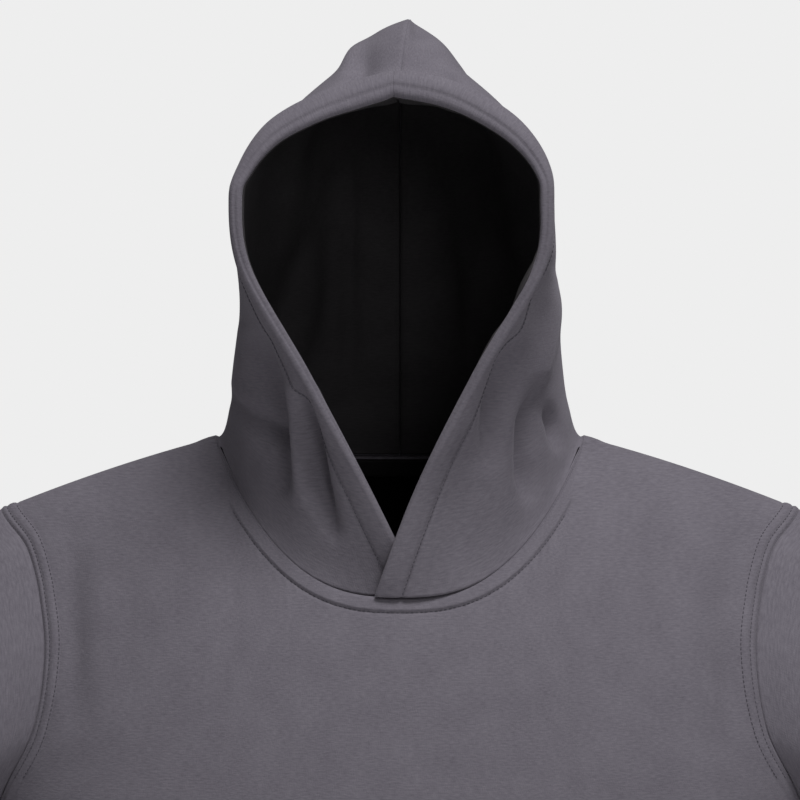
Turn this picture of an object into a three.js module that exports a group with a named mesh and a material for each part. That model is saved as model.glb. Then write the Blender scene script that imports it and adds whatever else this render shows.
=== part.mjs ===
// A pullover hoodie of brushed sweatshirt fleece, worn shape with no wearer: hood up and open, arms down.
// Millimetres, +Z up. The wearer faces -Y and the wearer's left is +X. The origin lies midway between
// the two shoulders, level with the side of the neck. Every piece is a cloth wall cut along its real seams.
import * as THREE from "three";

// Cloth walls
const FLEECE = 2.4; // body, sleeve and outer hood cloth
const LINING = 1.4; // black hood lining
const RIB = 3.0; // cuffs and hem band
const TURNED_EDGE = 5.2; // hood opening, where the outer cloth is turned in over the lining
const SEAM_GAP = 0.5; // each edge stands back this far from its seam line
const LAYER_GAP = 1.0; // air between the outer hood and its lining
const TAPE = 1.0; // neck tape
const TAPE_HEIGHT = 11;
const NECK_GAP = 2.3; // the hood's foot stands this far from the neck seam, where the two walls meet at an angle

// Body
const SHOULDER_HALF = 256; // shoulder tip to centre
const NECK_HALF = 118; // side of the neck to centre
const NECK_RISE = 14; // height of the shoulder line where it would cross the centre
const SHOULDER_DROP = 65; // fall of the shoulder line from centre to tip
const SHOULDER_BEND = 1.6;
const SHOULDER_Y = 10; // the shoulder seam lies a little behind the origin
const FRONT_NECK_DROP = 99;
const BACK_NECK_DROP = 13;
const NECK_BEND = 2.6;
const PIT_Z = -262;
const HEM_TOP_Z = -640;
const HEM_Z = -700;
const SECTION = 2.3; // roundness of the body's cross-section
const FRONT = { side: -1, depth: 132, fall: 1.7, neckDrop: FRONT_NECK_DROP };
const BACK = { side: 1, depth: 104, fall: 2.5, neckDrop: BACK_NECK_DROP };

// Half-width of the body and share of its depth, by height, from hem to underarm.
const BODY_WIDTH = [
  { z: HEM_Z, half: 206, depth: 0.84 },
  { z: -668, half: 216, depth: 0.89 },
  { z: HEM_TOP_Z, half: 226, depth: 0.94 },
  { z: -560, half: 231, depth: 0.98 },
  { z: -440, half: 233, depth: 1.0 },
  { z: -340, half: 240, depth: 1.0 },
  { z: PIT_Z, half: 262, depth: 1.0 },
];

// Distance of the armhole seam from the centre, by height.
const ARMHOLE = [
  { z: PIT_Z, front: 262, back: 262 },
  { z: -232, front: 252, back: 256 },
  { z: -190, front: 231, back: 244 },
  { z: -141, front: 224, back: 238 },
  { z: -100, front: 229, back: 240 },
  { z: -74, front: 238, back: 246 },
  { z: -51, front: 256, back: 256 },
];

// Sleeve rings from the armhole to the wrist, for the wearer's left: centre, half-width, half-depth,
// and how far the ring's outer side leans up, in degrees.
const SLEEVE_RINGS = [
  { x: 259, y: 8, z: -156, lean: 88, wide: 105, deep: 60 },
  { x: 278, y: 7, z: -170, lean: 84, wide: 102, deep: 65 },
  { x: 295, y: 5, z: -187, lean: 74, wide: 99, deep: 70 },
  { x: 311, y: 3, z: -214, lean: 62, wide: 92, deep: 75 },
  { x: 324, y: 0, z: -252, lean: 48, wide: 84, deep: 78 },
  { x: 330, y: -3, z: -302, lean: 31, wide: 72, deep: 77 },
  { x: 333, y: -8, z: -362, lean: 15, wide: 64, deep: 73 },
  { x: 339, y: -15, z: -430, lean: 8, wide: 60, deep: 68 },
  { x: 347, y: -27, z: -510, lean: 8, wide: 56, deep: 62 },
  { x: 355, y: -43, z: -588, lean: 10, wide: 51, deep: 56 },
  { x: 359, y: -51, z: -624, lean: 10, wide: 45, deep: 47 },
];
const CUFF_RINGS = [
  { x: 359.2, y: -51.3, z: -625.2, lean: 10, wide: 44, deep: 46 },
  { x: 360.5, y: -53.5, z: -634, lean: 10, wide: 40, deep: 40 },
  { x: 362, y: -56, z: -644, lean: 10, wide: 39, deep: 38 },
  { x: 365, y: -61, z: -668, lean: 10, wide: 39, deep: 36 },
  { x: 368, y: -66, z: -692, lean: 10, wide: 37, deep: 34 },
];
const ARMHOLE_FADE = 0.42; // share of the sleeve over which the armhole's outline fades into round rings

// Hood sections from the neck seam to the crown. front and back are the control points of the curve that runs
// from the face opening, past the ear, to the seam down the middle of the head. The wearer's right is mirrored.
const HOOD_SECTIONS = [
  { frontX: 100, frontY: -60, frontZ: -48, backX: 128, backY: 72, backZ: -8, seamY: 78, seamZ: -22 },
  { frontX: 102, frontY: -62, frontZ: -2, backX: 122, backY: 80, backZ: 20, seamY: 84, seamZ: 14 },
  { frontX: 106, frontY: -62, frontZ: 48, backX: 120, backY: 96, backZ: 60, seamY: 96, seamZ: 56 },
  { frontX: 112, frontY: -66, frontZ: 98, backX: 124, backY: 112, backZ: 106, seamY: 108, seamZ: 102 },
  { frontX: 116, frontY: -66, frontZ: 148, backX: 122, backY: 118, backZ: 152, seamY: 112, seamZ: 150 },
  { frontX: 108, frontY: -66, frontZ: 186, backX: 104, backY: 108, backZ: 196, seamY: 104, seamZ: 194 },
  { frontX: 82, frontY: -68, frontZ: 206, backX: 78, backY: 86, backZ: 230, seamY: 86, seamZ: 229 },
  { frontX: 54, frontY: -72, frontZ: 217, backX: 50, backY: 66, backZ: 250, seamY: 68, seamZ: 250 },
  { frontX: 26, frontY: -76, frontZ: 219, backX: 24, backY: 44, backZ: 260, seamY: 54, seamZ: 260 },
  { frontX: 0, frontY: -80, frontZ: 214, backX: 0, backY: 0, backZ: 248, seamY: 42, seamZ: 266 },
];
const PEAK_X = 7; // the crown's point stands a little to the wearer's left

// Edge of the face opening, a row for each hood section. The left edge laps over the right at the throat.
const OPENING_LEFT = [
  { x: -14, y: -95, z: -103 },
  { x: 8, y: -108, z: -38 },
  { x: 50, y: -121, z: 31 },
  { x: 86, y: -131, z: 96 },
  { x: 98, y: -135, z: 150 },
  { x: 90, y: -134, z: 177 },
  { x: 72, y: -131, z: 197 },
  { x: 48, y: -127, z: 212 },
  { x: 24, y: -122, z: 222 },
  { x: -4, y: -118, z: 226 },
];
const OPENING_RIGHT = [
  { x: 12, y: -84, z: -103 },
  { x: -22, y: -104, z: -40 },
  { x: -62, y: -120, z: 30 },
  { x: -98, y: -131, z: 94 },
  { x: -110, y: -135, z: 146 },
  { x: -101, y: -134, z: 172 },
  { x: -82, y: -131, z: 194 },
  { x: -58, y: -127, z: 209 },
  { x: -31, y: -122, z: 220 },
  { x: -4, y: -118, z: 226 },
];
const NECK_FADE = 0.3; // share of the hood's height over which the neck seam's outline fades out
const CROWN_HALF = 8; // the cloth beside the crown's seam stands at least this far from the hood's middle
const FOLD_FADE = 0.1; // share of the hood beside its seams over which the folds fade out
const LAP_OUT = 5; // the lapping edge stands out, and the other in, by this much at the throat
const LAP_REACH = 70; // distance from the throat over which that fades

// Soft folds of the hood: where each starts and ends, as height and front-to-back shares, its half-width as a
// share, and how deep it is. A negative depth is a ridge.
const HOOD_FOLDS = {
  left: [
    { s0: 0.12, t0: 0.22, s1: 0.42, t1: 0.16, half: 0.065, depth: 13 },
    { s0: 0.02, t0: 0.34, s1: 0.36, t1: 0.3, half: 0.07, depth: -8 },
    { s0: 0.06, t0: 0.47, s1: 0.3, t1: 0.44, half: 0.05, depth: 12 },
    { s0: 0.05, t0: 0.75, s1: 0.35, t1: 0.72, half: 0.08, depth: 8 },
    { s0: 0.72, t0: 0.22, s1: 1.0, t1: 0.3, half: 0.12, depth: 8 },
  ],
  right: [
    { s0: 0.06, t0: 0.36, s1: 0.45, t1: 0.17, half: 0.065, depth: 14 },
    { s0: 0.08, t0: 0.2, s1: 0.24, t1: 0.15, half: 0.06, depth: 6 },
    { s0: 0.14, t0: 0.55, s1: 0.22, t1: 0.42, half: 0.06, depth: 8 },
    { s0: 0.05, t0: 0.78, s1: 0.32, t1: 0.74, half: 0.08, depth: 8 },
    { s0: 0.72, t0: 0.24, s1: 1.0, t1: 0.3, half: 0.12, depth: 8 },
  ],
};

// Soft troughs of the body: centre x and z, half-widths, and depth.
const FRONT_FOLDS = [
  { x: -205, z: -170, halfX: 16, halfZ: 70, depth: 7 },
  { x: 205, z: -180, halfX: 16, halfZ: 70, depth: 6 },
  { x: -150, z: -520, halfX: 26, halfZ: 150, depth: 8 },
  { x: 60, z: -560, halfX: 30, halfZ: 110, depth: 6 },
  { x: 170, z: -500, halfX: 24, halfZ: 150, depth: 8 },
];
const BACK_FOLDS = [
  { x: -120, z: -470, halfX: 28, halfZ: 170, depth: 9 },
  { x: 20, z: -540, halfX: 30, halfZ: 120, depth: 7 },
  { x: 145, z: -450, halfX: 26, halfZ: 180, depth: 9 },
];
const SLEEVE_FOLDS = [
  { at: 0.56, turn: 0.3, halfAt: 0.035, halfTurn: 0.22, depth: 7 },
  { at: 0.64, turn: 0.42, halfAt: 0.03, halfTurn: 0.2, depth: 7 },
  { at: 0.86, turn: 0.1, halfAt: 0.03, halfTurn: 0.3, depth: 6 },
  { at: 0.93, turn: 0.6, halfAt: 0.025, halfTurn: 0.35, depth: 6 },
];

// Mesh steps
const BODY_COLUMNS = [-1, -0.9, -0.76, -0.6, -0.46, -0.34, -0.23, -0.16, -0.1, -0.05, 0];
const BODY_LOW_ROWS = 5;
const BODY_HIGH_ROWS = 8;
const SLEEVE_STEPS = 14;
const SLEEVE_SIDES = 22;
const CUFF_STEPS = 3;
const HEM_STEPS = 2;
const HEM_SIDES = 38;
const HOOD_STEPS = 16;
const HOOD_SPAN = [0, 0.035, 0.08, 0.14, 0.2, 0.27, 0.34, 0.42, 0.51, 0.61, 0.72, 0.83, 0.93, 1];
const TURNED_COLUMNS = 2; // columns of the hood taken by the turned edge

const rad = THREE.MathUtils.degToRad;
const mix = THREE.MathUtils.lerp;
const clamp = THREE.MathUtils.clamp;
const bell = (distance) => Math.exp(-distance * distance);

// A column of a table at a place between its rows, on a smooth curve through them. place counts rows.
function along(table, column, place) {
  const i = clamp(Math.floor(place), 0, table.length - 2);
  const f = place - i;
  const value = (k) => table[clamp(k, 0, table.length - 1)][column];
  const [a, b, c, d] = [value(i - 1), value(i), value(i + 1), value(i + 2)];
  return b + 0.5 * f * (c - a + f * (2 * a - 5 * b + 4 * c - d + f * (3 * (b - c) + d - a)));
}

// A column of a table at a height, on the same kind of curve. The rows rise in z.
function atHeight(table, column, z) {
  let i = 0;
  while (i < table.length - 2 && z > table[i + 1].z) i++;
  const f = clamp((z - table[i].z) / (table[i + 1].z - table[i].z), 0, 1);
  return along(table, column, i + f);
}

const shoulderZ = (x) => NECK_RISE - SHOULDER_DROP * (Math.abs(x) / SHOULDER_HALF) ** SHOULDER_BEND;
const neckZ = (x, half) => shoulderZ(NECK_HALF) - half.neckDrop * (1 - (Math.abs(x) / NECK_HALF) ** NECK_BEND);

// The body's surface: y for a place x, z on its front or back half.
function bodyY(x, z, half) {
  const width = z > PIT_Z ? BODY_WIDTH.at(-1).half : atHeight(BODY_WIDTH, "half", z);
  const share = z > PIT_Z ? 1 : atHeight(BODY_WIDTH, "depth", z);
  const across = clamp(Math.abs(x) / width, 0, 1);
  let out = half.depth * share * (1 - across ** SECTION) ** (1 / SECTION);
  if (z > PIT_Z) {
    const up = clamp((z - PIT_Z) / (shoulderZ(x) - PIT_Z), 0, 1);
    out *= (1 - up ** half.fall) ** (1 / half.fall);
  }
  return SHOULDER_Y + half.side * out;
}

// A body half's point for a column from -1 to 1 and a row: 0 at the hem, 1 underarm, 2 at shoulder and neck.
function bodyPoint(column, row, half) {
  const across = Math.sign(column) * Math.sin((Math.abs(column) * Math.PI) / 2) ** (2 / SECTION);
  const tipX = SHOULDER_HALF * across;
  const topZ = Math.abs(tipX) < NECK_HALF ? neckZ(tipX, half) : shoulderZ(tipX);
  if (row <= 1) {
    const z = mix(HEM_TOP_Z, PIT_Z, row);
    const x = atHeight(BODY_WIDTH, "half", z) * across;
    return new THREE.Vector3(x, bodyY(x, z, half), z);
  }
  const rise = Math.sin(((row - 1) * Math.PI) / 2);
  const edgeZ = mix(PIT_Z, shoulderZ(SHOULDER_HALF), rise);
  const x = atHeight(ARMHOLE, half === FRONT ? "front" : "back", edgeZ) * across;
  const z = mix(PIT_Z, topZ, rise);
  return new THREE.Vector3(x, bodyY(x, z, half), z);
}

// Pushes a point of the body inwards by its folds.
function foldBody(p, folds, half) {
  for (const f of folds) {
    p.y -= half.side * f.depth * bell((p.x - f.x) / f.halfX) * bell((p.z - f.z) / f.halfZ);
  }
  return p;
}

// The neck seam from the throat, at startX, round the side to the middle of the back. t runs from 0 to 1.
const NECK_FRONT_SHARE = 0.56;
function neckPoint(t, side, startX) {
  const front = t < NECK_FRONT_SHARE;
  const turn = front ? t / NECK_FRONT_SHARE : (t - NECK_FRONT_SHARE) / (1 - NECK_FRONT_SHARE);
  const x = front
    ? mix(startX * side, NECK_HALF, Math.sin((turn * Math.PI) / 2))
    : NECK_HALF * Math.cos((turn * Math.PI) / 2);
  const half = front ? FRONT : BACK;
  const z = neckZ(x, half);
  return new THREE.Vector3(side * x, bodyY(x, z, half), z);
}

// The hood's middle, where its two sides meet: it leans to the wearer's left as it rises to the peak.
const hoodMiddle = (s, t) => clamp(2 * s - 1, 0, 1) ** 2 * mix(OPENING_LEFT.at(-1).x, PEAK_X, t);

// The hood's drape before it is sewn to the neck: s from the neck up to the crown, t from the face opening
// back to the middle seam.
function hoodDrape(s, t, side, opening) {
  const place = s * (HOOD_SECTIONS.length - 1);
  const c = (column) => along(HOOD_SECTIONS, column, place);
  const edge = (column) => along(opening, column, place);
  const curve = new THREE.CubicBezierCurve3(
    new THREE.Vector3(edge("x"), edge("y"), edge("z")),
    new THREE.Vector3(side * c("frontX") + hoodMiddle(s, 1 / 3), c("frontY"), c("frontZ")),
    new THREE.Vector3(side * c("backX") + hoodMiddle(s, 2 / 3), c("backY"), c("backZ")),
    new THREE.Vector3(hoodMiddle(s, 1), c("seamY"), c("seamZ")),
  );
  return curve.getPoint(t);
}

// The hood's surface: the drape, pulled to the neck seam at its foot, with the edges lapped at the throat.
function hoodPoint(s, t, side, opening) {
  const p = hoodDrape(s, t, side, opening);
  if (s < NECK_FADE) {
    const pull = neckPoint(t, side, side * opening[0].x).sub(hoodDrape(0, t, side, opening));
    p.addScaledVector(pull, (1 - s / NECK_FADE) ** 2);
  }
  const throat = new THREE.Vector3(0, p.y, OPENING_LEFT[0].z);
  const near = clamp(1 - p.distanceTo(throat) / LAP_REACH, 0, 1);
  if (p.y < 0) p.y -= side * LAP_OUT * near * near * (3 - 2 * near);
  return p;
}

// How deep the hood's folds are at a place on it. The seams hold the cloth, so the folds fade out towards them.
function hoodFold(s, t, folds) {
  const held = clamp(Math.min(s, 1 - s, 1 - t) / FOLD_FADE, 0, 1);
  let depth = 0;
  for (const f of folds) {
    const run = new THREE.Vector2(f.s1 - f.s0, f.t1 - f.t0);
    const from = new THREE.Vector2(s - f.s0, t - f.t0);
    const share = clamp(from.dot(run) / run.lengthSq(), 0, 1);
    const away = from.addScaledVector(run, -share).length();
    depth += f.depth * bell(away / f.half) * Math.sin(Math.PI * mix(0.15, 0.85, share));
  }
  return depth * held;
}

// Unit normals of a grid of points, outward when the rows run up and the columns run to the left seen from outside.
function gridNormals(grid, closed) {
  const last = grid[0].length - 1;
  return grid.map((row, i) =>
    row.map((_, j) => {
      const up = grid[Math.min(i + 1, grid.length - 1)][j].clone().sub(grid[Math.max(i - 1, 0)][j]);
      const next = closed ? (j + 1) % row.length : Math.min(j + 1, last);
      const before = closed ? (j + last) % row.length : Math.max(j - 1, 0);
      const round = row[next].clone().sub(row[before]);
      return round.cross(up).normalize();
    }),
  );
}

// A closed cloth wall on a grid of outer points: the grid, its copy moved in by the thickness, and the cut edges.
// thickness and inset are lengths, or functions of row and column; flip turns the outside round.
// keep, where given, holds each point to its own side of a seam: it takes the point, its depth, row and column.
function clothWall({ name, grid, thickness, inset = 0, closed = false, flip = false, normals, keep, material }) {
  normals ??= gridNormals(grid, closed);
  const amount = (value, i, j) => (typeof value === "function" ? value(i, j) : value);
  const rows = grid.length;
  const columns = grid[0].length;
  const points = [];
  for (const layer of [0, 1]) {
    grid.forEach((row, i) =>
      row.forEach((p, j) => {
        const depth = amount(inset, i, j) + layer * amount(thickness, i, j);
        const point = p.clone().addScaledVector(normals[i][j], flip ? depth : -depth);
        points.push(keep ? keep(point, depth, i, j) : point);
      }),
    );
  }
  const at = (layer, i, j) => layer * rows * columns + i * columns + (j % columns);
  const index = [];
  const quad = (a, b, c, d) => index.push(...(flip ? [a, c, b, a, d, c] : [a, b, c, a, c, d]));
  const spans = closed ? columns : columns - 1;
  for (let i = 0; i < rows - 1; i++) {
    for (let j = 0; j < spans; j++) {
      quad(at(0, i, j), at(0, i, j + 1), at(0, i + 1, j + 1), at(0, i + 1, j));
      quad(at(1, i, j), at(1, i + 1, j), at(1, i + 1, j + 1), at(1, i, j + 1));
    }
  }
  for (let j = 0; j < spans; j++) {
    quad(at(0, 0, j), at(1, 0, j), at(1, 0, j + 1), at(0, 0, j + 1));
    quad(at(0, rows - 1, j), at(0, rows - 1, j + 1), at(1, rows - 1, j + 1), at(1, rows - 1, j));
  }
  if (!closed) {
    for (let i = 0; i < rows - 1; i++) {
      quad(at(0, i, 0), at(0, i + 1, 0), at(1, i + 1, 0), at(1, i, 0));
      const e = columns - 1;
      quad(at(0, i, e), at(1, i, e), at(1, i + 1, e), at(0, i + 1, e));
    }
  }
  const geometry = new THREE.BufferGeometry();
  geometry.setAttribute("position", new THREE.Float32BufferAttribute(points.flatMap((p) => p.toArray()), 3));
  geometry.setIndex(index);
  geometry.computeVertexNormals();
  const mesh = new THREE.Mesh(geometry, material);
  mesh.name = name;
  return mesh;
}

// Draws the edges of a grid, and its normals with them, back from their seams. gaps says how far: bottom, top,
// start, end.
function standBack(grid, normals, gaps) {
  const rows = grid.length - 1;
  const columns = grid[0].length - 1;
  const pull = (i, j, k, l, gap) => {
    const share = gap / grid[i][j].distanceTo(grid[k][l]);
    grid[i][j].lerp(grid[k][l], share);
    normals[i][j].lerp(normals[k][l], share).normalize();
  };
  for (let j = 0; j <= columns; j++) {
    if (gaps.bottom) pull(0, j, 1, j, gaps.bottom);
    if (gaps.top) pull(rows, j, rows - 1, j, gaps.top);
  }
  for (let i = 0; i <= rows; i++) {
    if (gaps.start) pull(i, 0, i, 1, gaps.start);
    if (gaps.end) pull(i, columns, i, columns - 1, gaps.end);
  }
}

const material = (color, roughness) => new THREE.MeshStandardMaterial({ color, roughness, metalness: 0 });
const fleece = material("#69666c", 0.95);
const rib = material("#605d63", 0.95);
const blackLining = material("#141414", 0.9);

// A body half's points and the directions its wall grows in. Columns run from the wearer's right to left, with
// one at each side of the neck.
function bodyGrid(half, folds) {
  const neckColumn = -(2 / Math.PI) * Math.asin((NECK_HALF / SHOULDER_HALF) ** (SECTION / 2));
  const left = [...BODY_COLUMNS, neckColumn].sort((a, b) => a - b);
  const columns = [...left, ...left.slice(0, -1).map((u) => -u).reverse()];
  const rows = [];
  for (let i = 0; i <= BODY_LOW_ROWS; i++) rows.push(i / BODY_LOW_ROWS);
  for (let i = 1; i <= BODY_HIGH_ROWS; i++) rows.push(1 + i / BODY_HIGH_ROWS);
  const grid = rows.map((row) => columns.map((u) => foldBody(bodyPoint(u, row, half), folds, half)));
  const normals = gridNormals(grid, false);
  // Where front meets back, both walls share one direction: up along the shoulders, sideways down the sides.
  normals.at(-1).forEach((n, j) => {
    if (Math.abs(grid.at(-1)[j].x) >= NECK_HALF - 1) n.setY(0).normalize();
  });
  for (let i = 0; i <= BODY_LOW_ROWS; i++) {
    for (const n of [normals[i][0], normals[i].at(-1)]) n.set(Math.sign(n.x), 0, 0);
  }
  return { grid, normals };
}

function bodyPanel(name, half, folds) {
  const { grid, normals } = bodyGrid(half, folds);
  standBack(grid, normals, { bottom: SEAM_GAP, top: SEAM_GAP, start: SEAM_GAP, end: SEAM_GAP });
  return clothWall({ name, grid, normals, thickness: FLEECE, flip: half === BACK, material: fleece });
}

// The tape over the neck seam inside the back of the neck, lying against the back's own faces.
function neckTape(name) {
  const { grid, normals } = bodyGrid(BACK, BACK_FOLDS);
  const low = (p, j) => {
    const above = grid.at(-2)[j];
    const share = (grid.at(-1)[j].z - TAPE_HEIGHT - above.z) / (p.z - above.z);
    return above.clone().lerp(p, share);
  };
  const underneath = (_, j) => Math.abs(grid.at(-1)[j].x) < NECK_HALF - 1;
  const rows = [grid.at(-3).map(low), grid.at(-2), grid.at(-1)].map((row) => row.filter(underneath));
  const directions = normals.slice(-3).map((row) => row.filter(underneath));
  standBack(rows, directions, { top: SEAM_GAP });
  return clothWall({
    name, grid: rows, normals: directions, thickness: TAPE, inset: FLEECE + LAYER_GAP, flip: true,
    material: blackLining,
  });
}

// A ring of a sleeve or cuff: turn runs from 0 at its outer side, through the front, round to 1.
function ringPoint(table, place, turn) {
  const c = (column) => along(table, column, place);
  const angle = turn * 2 * Math.PI;
  const lean = rad(c("lean"));
  const out = c("wide") * Math.cos(angle);
  return new THREE.Vector3(
    c("x") + out * Math.cos(lean),
    c("y") - c("deep") * Math.sin(angle),
    c("z") + out * Math.sin(lean),
  );
}

// The armhole seam: turn runs from 0 at the shoulder tip, down the front to the underarm, and up the back.
function armholePoint(turn) {
  const half = turn < 0.5 ? FRONT : BACK;
  const down = (1 - Math.cos(turn * 2 * Math.PI)) / 2;
  const z = mix(shoulderZ(SHOULDER_HALF), PIT_Z, down);
  const x = atHeight(ARMHOLE, turn < 0.5 ? "front" : "back", z);
  return new THREE.Vector3(x, bodyY(x, z, half), z);
}

function sleevePoint(at, turn) {
  const p = ringPoint(SLEEVE_RINGS, at * (SLEEVE_RINGS.length - 1), turn);
  const left = clamp(1 - at / ARMHOLE_FADE, 0, 1) ** 2;
  p.addScaledVector(armholePoint(turn).sub(ringPoint(SLEEVE_RINGS, 0, turn)), left);
  const axis = ringPoint(SLEEVE_RINGS, at * (SLEEVE_RINGS.length - 1), turn + 0.5).add(p).multiplyScalar(0.5);
  let depth = 0;
  for (const f of SLEEVE_FOLDS) {
    const away = Math.abs(turn - f.turn);
    depth += f.depth * bell((at - f.at) / f.halfAt) * bell(Math.min(away, 1 - away) / f.halfTurn);
  }
  return p.addScaledVector(axis.sub(p).normalize(), depth);
}

// Mirrors a grid to the wearer's right.
const sided = (grid, side) => grid.map((row) => row.map((p) => new THREE.Vector3(side * p.x, p.y, p.z)));

function tubeGrid(steps, sides, point) {
  const grid = [];
  for (let i = 0; i <= steps; i++) {
    grid.push(Array.from({ length: sides }, (_, j) => point(i / steps, j / sides)));
  }
  return grid;
}

function sleeve(name, side) {
  const grid = sided(tubeGrid(SLEEVE_STEPS, SLEEVE_SIDES, sleevePoint), side);
  const normals = gridNormals(grid, true);
  standBack(grid, normals, { bottom: SEAM_GAP });
  return clothWall({ name, grid, normals, thickness: FLEECE, closed: true, flip: side < 0, material: fleece });
}

function cuff(name, side) {
  const last = CUFF_RINGS.length - 1;
  const ring = (at, turn) => ringPoint(CUFF_RINGS, at * last, turn);
  const grid = sided(tubeGrid(CUFF_STEPS, SLEEVE_SIDES, ring), side);
  return clothWall({ name, grid, thickness: RIB, closed: true, flip: side < 0, material: rib });
}

// The hem band: one ring of rib round the hips.
function hemBand(name) {
  const grid = tubeGrid(HEM_STEPS, HEM_SIDES, (up, turn) => {
    const z = mix(HEM_Z, HEM_TOP_Z - SEAM_GAP, up);
    const angle = turn * 2 * Math.PI;
    const across = Math.sign(Math.sin(angle)) * Math.abs(Math.sin(angle)) ** (2 / SECTION);
    const x = atHeight(BODY_WIDTH, "half", z) * across;
    const half = Math.cos(angle) >= 0 ? FRONT : BACK;
    const folds = half === FRONT ? FRONT_FOLDS : BACK_FOLDS;
    return foldBody(new THREE.Vector3(x, bodyY(x, z, half), z), folds, half);
  });
  return clothWall({ name, grid, thickness: RIB, closed: true, material: rib });
}

// Moves a point out to at least a distance from a middle place in x, on its own side.
function standOff(p, side, middle, distance) {
  return p.setX(middle + side * Math.max(side * (p.x - middle), distance));
}

// The hood's outer cloth, whose edge is turned in at the face opening, and the lining inside it.
function hoodPanels(side, opening, folds, word) {
  const grid = [];
  for (let i = 0; i <= HOOD_STEPS; i++) {
    const s = i / HOOD_STEPS;
    grid.push(HOOD_SPAN.map((t) => {
      const p = hoodPoint(s, t, side, opening);
      return s > 0.5 && s < 1 && t > 0.5 && t < 1 ? standOff(p, side, hoodMiddle(s, t), CROWN_HALF) : p;
    }));
  }
  const normals = gridNormals(grid, false);
  grid.forEach((row, i) =>
    row.forEach((p, j) => p.addScaledVector(normals[i][j], -side * hoodFold(i / HOOD_STEPS, HOOD_SPAN[j], folds))),
  );
  const outward = gridNormals(grid, false);
  // The two sides share one direction along the seam over the head.
  for (const n of [...outward.at(-1), ...outward.map((row) => row.at(-1))]) n.setX(0).normalize();
  outward.at(-1).at(-1).addVectors(outward.at(-1).at(-2), outward.at(-2).at(-1)).normalize();
  // Near that seam every layer of cloth keeps to its own side of the hood's middle.
  const keep = (firstColumn) => (p, depth, i, j) => {
    const s = i / HOOD_STEPS;
    const t = HOOD_SPAN[j + firstColumn];
    return s < 0.5 && t < 0.5 ? p : standOff(p, side, hoodMiddle(s, t), SEAM_GAP + depth * 0.25);
  };
  const lining = grid.map((row) => row.slice(TURNED_COLUMNS).map((p) => p.clone()));
  const flip = side < 0;
  const deep = SEAM_GAP + FLEECE;
  const liningOutward = outward.map((row) => row.slice(TURNED_COLUMNS).map((n) => n.clone()));
  standBack(grid, outward, { bottom: NECK_GAP, top: SEAM_GAP, end: SEAM_GAP });
  standBack(lining, liningOutward, { bottom: deep, top: SEAM_GAP, start: deep, end: SEAM_GAP });
  const turned = (_, j) => (j < TURNED_COLUMNS ? TURNED_EDGE : FLEECE);
  return [
    clothWall({
      name: `hood_${word}`, grid, normals: outward, thickness: turned, flip, keep: keep(0), material: fleece,
    }),
    clothWall({
      name: `hood_lining_${word}`, grid: lining, normals: liningOutward,
      thickness: LINING, inset: FLEECE + LAYER_GAP, flip, keep: keep(TURNED_COLUMNS), material: blackLining,
    }),
  ];
}

const hoodie = new THREE.Group();
hoodie.add(bodyPanel("body_front", FRONT, FRONT_FOLDS), bodyPanel("body_back", BACK, BACK_FOLDS));
hoodie.add(sleeve("sleeve_left", 1), sleeve("sleeve_right", -1), cuff("cuff_left", 1), cuff("cuff_right", -1));
hoodie.add(hemBand("hem_band"), neckTape("neck_tape"));
hoodie.add(...hoodPanels(1, OPENING_LEFT, HOOD_FOLDS.left, "left"));
hoodie.add(...hoodPanels(-1, OPENING_RIGHT, HOOD_FOLDS.right, "right"));

export default hoodie;
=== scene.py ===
import bpy
import numpy as np
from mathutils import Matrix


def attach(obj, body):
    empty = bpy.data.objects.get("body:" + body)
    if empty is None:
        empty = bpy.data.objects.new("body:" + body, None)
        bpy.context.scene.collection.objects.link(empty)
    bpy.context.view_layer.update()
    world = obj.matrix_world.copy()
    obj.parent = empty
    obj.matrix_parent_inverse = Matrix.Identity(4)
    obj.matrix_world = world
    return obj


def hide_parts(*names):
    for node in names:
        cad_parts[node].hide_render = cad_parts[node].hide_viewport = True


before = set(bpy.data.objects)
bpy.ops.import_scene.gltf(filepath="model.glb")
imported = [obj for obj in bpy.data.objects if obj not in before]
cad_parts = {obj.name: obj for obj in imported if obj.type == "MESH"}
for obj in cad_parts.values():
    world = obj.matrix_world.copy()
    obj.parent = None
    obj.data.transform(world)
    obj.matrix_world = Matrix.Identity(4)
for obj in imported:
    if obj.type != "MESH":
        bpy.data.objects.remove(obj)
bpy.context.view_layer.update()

# The camera stands level with the throat, straight in front, and takes in the hood and shoulders.
camera = bpy.data.objects.new("camera", bpy.data.cameras.new("camera"))
bpy.context.scene.collection.objects.link(camera)
bpy.context.scene.camera = camera
camera.location = (0, -3.2, 0.019)
camera.rotation_euler = (np.pi / 2, 0, 0)
camera.data.sensor_width = 36
camera.data.lens = 36 * 3.2 / 0.512
camera.data.clip_end = 50

# --------------------------------------------------------------------------------------------------
# Body: front and back of charcoal sweatshirt fleece, 2.4 mm thick, heather-dyed on the face and brushed
# inside, which is painted near-black as painted shade of the hollow. Each is cut in one piece and sewn to the
# other along the shoulders and sides.
# --------------------------------------------------------------------------------------------------
MM = 0.001
FLEECE = 2.4
SHOULDER_HALF = 256
NECK_HALF = 118
PIT = -262
HEM_TOP = -640
SECTION = 2.3
FRONT = {"side": -1, "depth": 132, "fall": 1.7, "drop": 99, "armhole": 1}
BACK = {"side": 1, "depth": 104, "fall": 2.5, "drop": 13, "armhole": 2}
BODY_WIDTH = np.array([  # height, half-width, share of the depth
    [-700, 206, 0.84], [-668, 216, 0.89], [-640, 226, 0.94], [-560, 231, 0.98],
    [-440, 233, 1.0], [-340, 240, 1.0], [-262, 262, 1.0],
])
ARMHOLE = np.array([  # height, distance from the centre in front, and behind
    [-262, 262, 262], [-232, 252, 256], [-190, 231, 244], [-141, 224, 238],
    [-100, 229, 240], [-74, 238, 246], [-51, 256, 256],
])


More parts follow.
